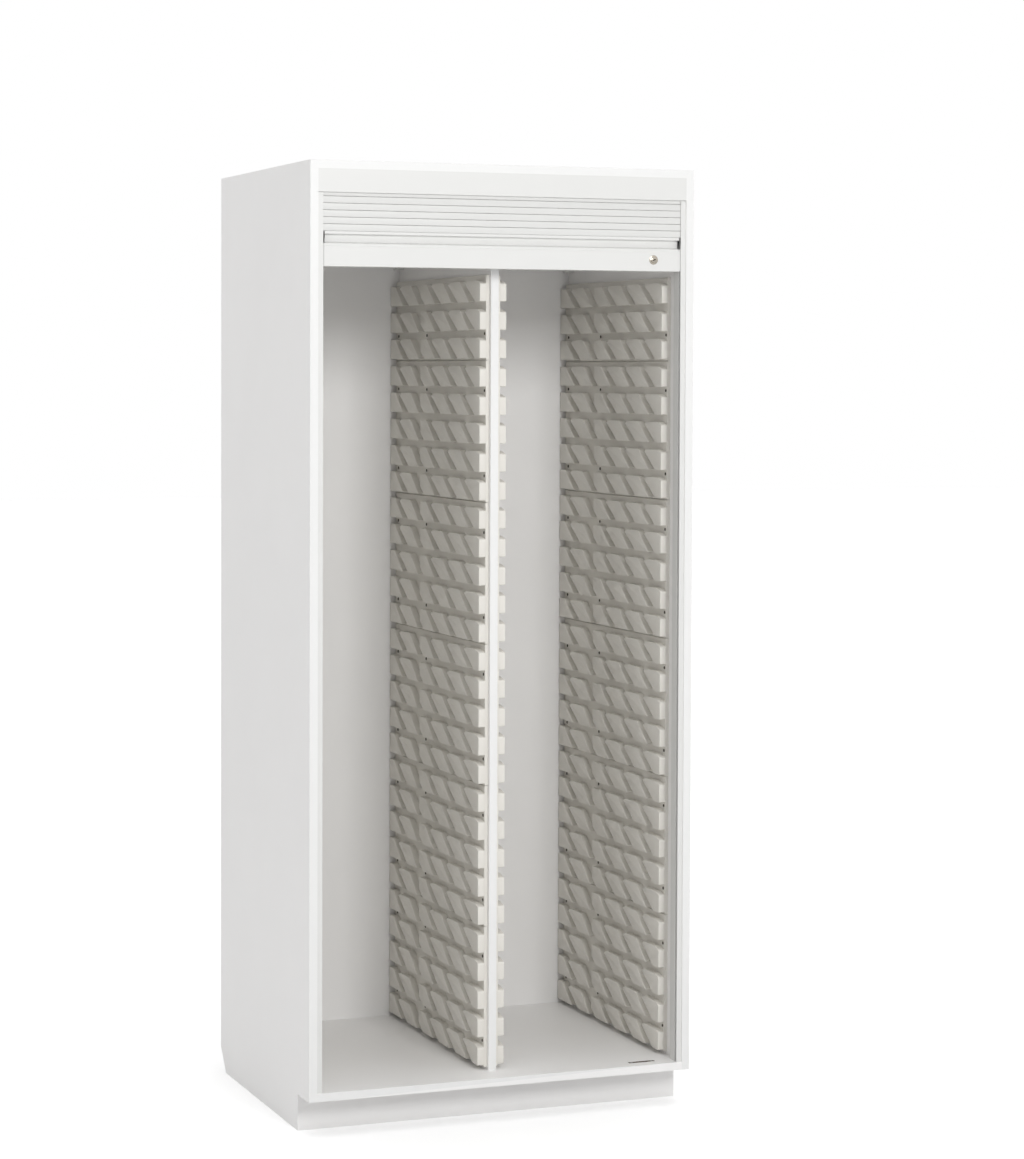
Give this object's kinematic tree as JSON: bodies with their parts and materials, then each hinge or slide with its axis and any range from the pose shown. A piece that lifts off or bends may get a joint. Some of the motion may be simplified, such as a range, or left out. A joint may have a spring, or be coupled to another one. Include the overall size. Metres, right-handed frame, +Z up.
{
  "type": "roller shutter storage cabinet",
  "caption": "Tall white supply cabinet with a lockable roller shutter, a centre divider and toothed inserts that carry trays level or tilted in both bays.",
  "frame": {"origin": "on the floor under the middle of the cabinet", "axes": "+X to the right as seen from the front, +Y to the back, +Z up"},
  "size_m": [0.9, 0.67, 2.1],
  "materials": {
    "white_board": "white melamine film on board, satin",
    "white_lacquered_aluminium": "white lacquer, satin",
    "white_slat_plastic": "extruded, satin",
    "grey_moulded_plastic": "moulded, matte",
    "white_moulded_plastic": "moulded, satin",
    "black_moulded_plastic": "moulded, matte",
    "zinc_plated_steel": "zinc plated",
    "chromed_metal": "polished chrome",
    "brown_lacquered_steel": "brown lacquer",
    "black_rubber": "matte",
    "beech_wood": "plain turned beech"
  },
  "bodies": {
    "cabinet": {"left_side_panel": "white_board", "right_side_panel": "white_board", "top_panel": "white_board", "bottom_panel": "white_board", "back_panel": "white_board", "toe_kick": "white_board", "rear_plinth_rail": "white_board", "centre_divider": "white_board", "head_box_floor": "white_board", "header_fascia": "white_lacquered_aluminium", "left_track": "white_lacquered_aluminium", "right_track": "white_lacquered_aluminium", "wound_curtain": "white_slat_plastic", "head_guides": "white_slat_plastic", "left_wall_insert_1": "grey_moulded_plastic", "left_wall_insert_2": "grey_moulded_plastic", "left_wall_insert_3": "grey_moulded_plastic", "left_wall_insert_4": "grey_moulded_plastic", "left_wall_insert_5": "grey_moulded_plastic", "left_wall_insert_6": "grey_moulded_plastic", "divider_left_insert_1": "grey_moulded_plastic", "divider_left_insert_2": "grey_moulded_plastic", "divider_left_insert_3": "grey_moulded_plastic", "divider_left_insert_4": "grey_moulded_plastic", "divider_left_insert_5": "grey_moulded_plastic", "divider_left_insert_6": "grey_moulded_plastic", "divider_right_insert_1": "grey_moulded_plastic", "divider_right_insert_2": "grey_moulded_plastic", "divider_right_insert_3": "grey_moulded_plastic", "divider_right_insert_4": "grey_moulded_plastic", "divider_right_insert_5": "grey_moulded_plastic", "divider_right_insert_6": "grey_moulded_plastic", "right_wall_insert_1": "grey_moulded_plastic", "right_wall_insert_2": "grey_moulded_plastic", "right_wall_insert_3": "grey_moulded_plastic", "right_wall_insert_4": "grey_moulded_plastic", "right_wall_insert_5": "grey_moulded_plastic", "right_wall_insert_6": "grey_moulded_plastic", "corner_blocks": "white_moulded_plastic", "spring_anchor": "black_moulded_plastic", "barrel_brackets": "zinc_plated_steel", "barrel_axle": "zinc_plated_steel", "fixing_screws": "zinc_plated_steel", "insert_screws": "zinc_plated_steel", "counterbalance_spring": "zinc_plated_steel", "strike_plate": "brown_lacquered_steel", "shutter_stops": "black_rubber", "carcass_dowels": "beech_wood"},
    "shutter": {"shutter_slats": "white_slat_plastic", "shutter_rail": "white_lacquered_aluminium", "rail_end_guides": "white_slat_plastic", "lock_housing": "chromed_metal"},
    "barrel": {"barrel_tube": "zinc_plated_steel", "barrel_end_plugs": "black_moulded_plastic"},
    "lock_plug": {"lock_plug": "chromed_metal"},
    "lock_bolt": {"lock_bolt": "zinc_plated_steel"}
  },
  "joints": [
    {"name": "shutter_slide", "type": "slide", "parent": "cabinet", "child": "shutter", "axis": [0, 0, -1], "range_m": [0, 1.775], "deforming": ["wound_curtain"]},
    {"name": "barrel_turn", "type": "hinge", "parent": "cabinet", "child": "barrel", "pos_m": [0, -0.22, 2.0053], "axis": [1, 0, 0], "range_deg": [0, 1923]},
    {"name": "lock_turn", "type": "hinge", "parent": "shutter", "child": "lock_plug", "pos_m": [0.354, -0.33075, 1.899], "axis": [0, 1, 0], "range_deg": [0, 90]},
    {"name": "lock_bolt_slide", "type": "slide", "parent": "shutter", "child": "lock_bolt", "axis": [0, 0, -1], "range_m": [0, 0.012]}
  ],
  "couplings": [
    {"joint": "barrel_turn", "follows": "shutter_slide", "rad_per_m": 18.9},
    {"joint": "lock_bolt_slide", "follows": "lock_turn", "m_per_rad": 0.007639}
  ]
}
